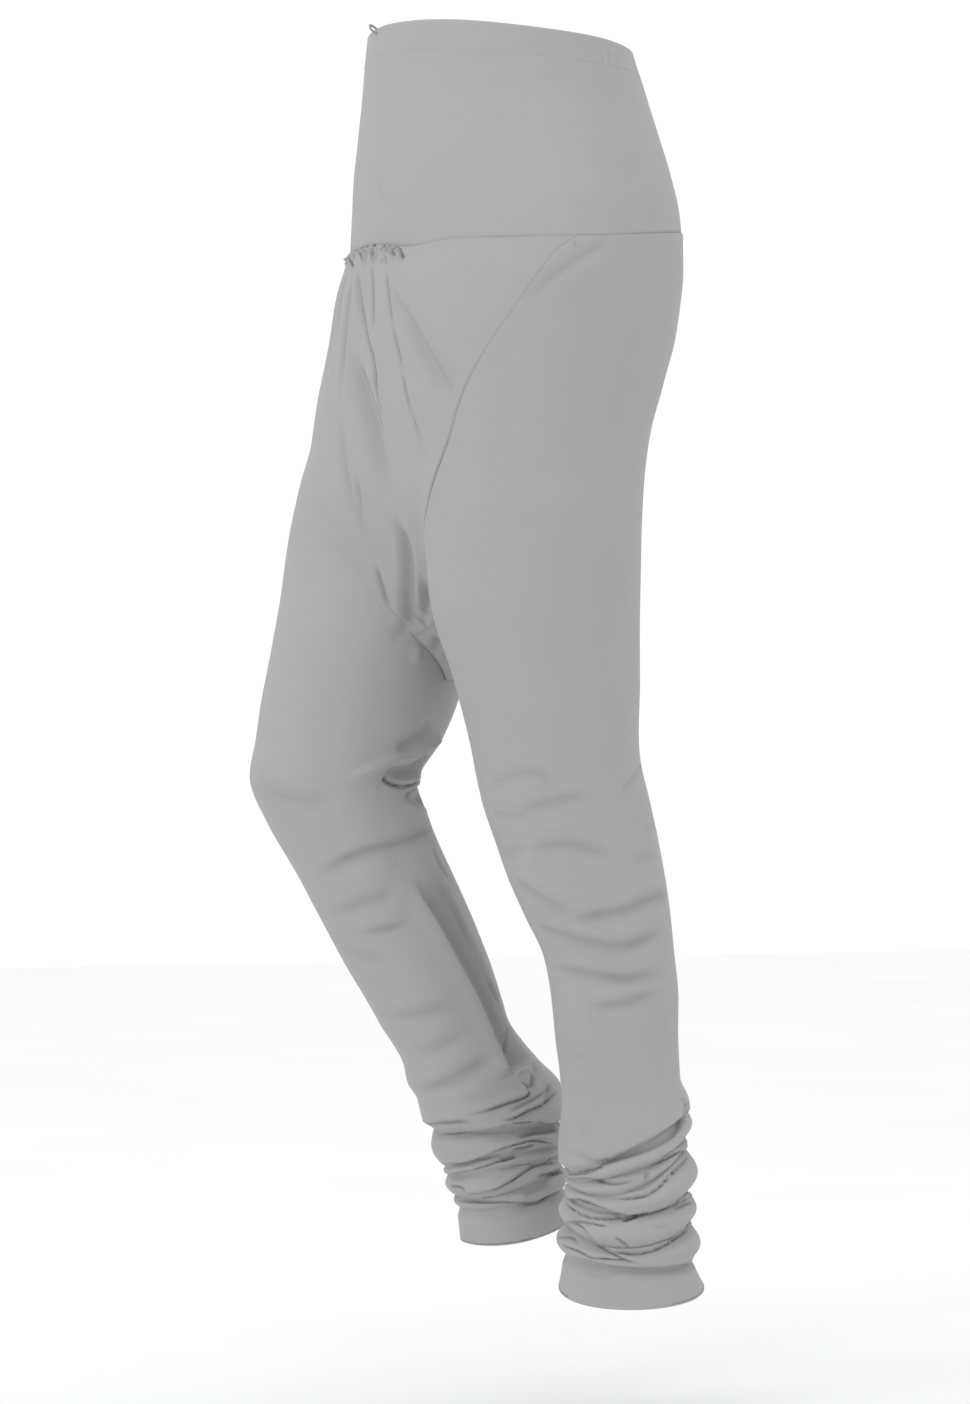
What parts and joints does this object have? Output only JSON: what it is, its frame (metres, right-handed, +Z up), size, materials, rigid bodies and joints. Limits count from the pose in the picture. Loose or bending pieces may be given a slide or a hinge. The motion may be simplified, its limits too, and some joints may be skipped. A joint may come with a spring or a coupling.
{
  "type": "churidar pants",
  "caption": "Churidar trousers with a deep fitted belt, gathered front, seamed narrow legs and cloth rolled up in folds above the ankles.",
  "frame": {"origin": "centre of the waist opening, at the height of the front of the waist edge", "axes": "+Z up, -Y towards the front of the garment, +X towards the wearer's left"},
  "size_m": [0.3468, 0.302, 0.9508],
  "materials": {
    "cloth": "matt plain weave",
    "belt_cloth": "matt plain weave",
    "drawstring": "matt cord"
  },
  "bodies": {
    "root": {"belt": "belt_cloth", "front_panel": "cloth", "back_panel": "cloth", "crotch_gusset": "cloth", "left_leg": "cloth", "right_leg": "cloth", "drawstring_loop": "drawstring"}
  },
  "joints": []
}
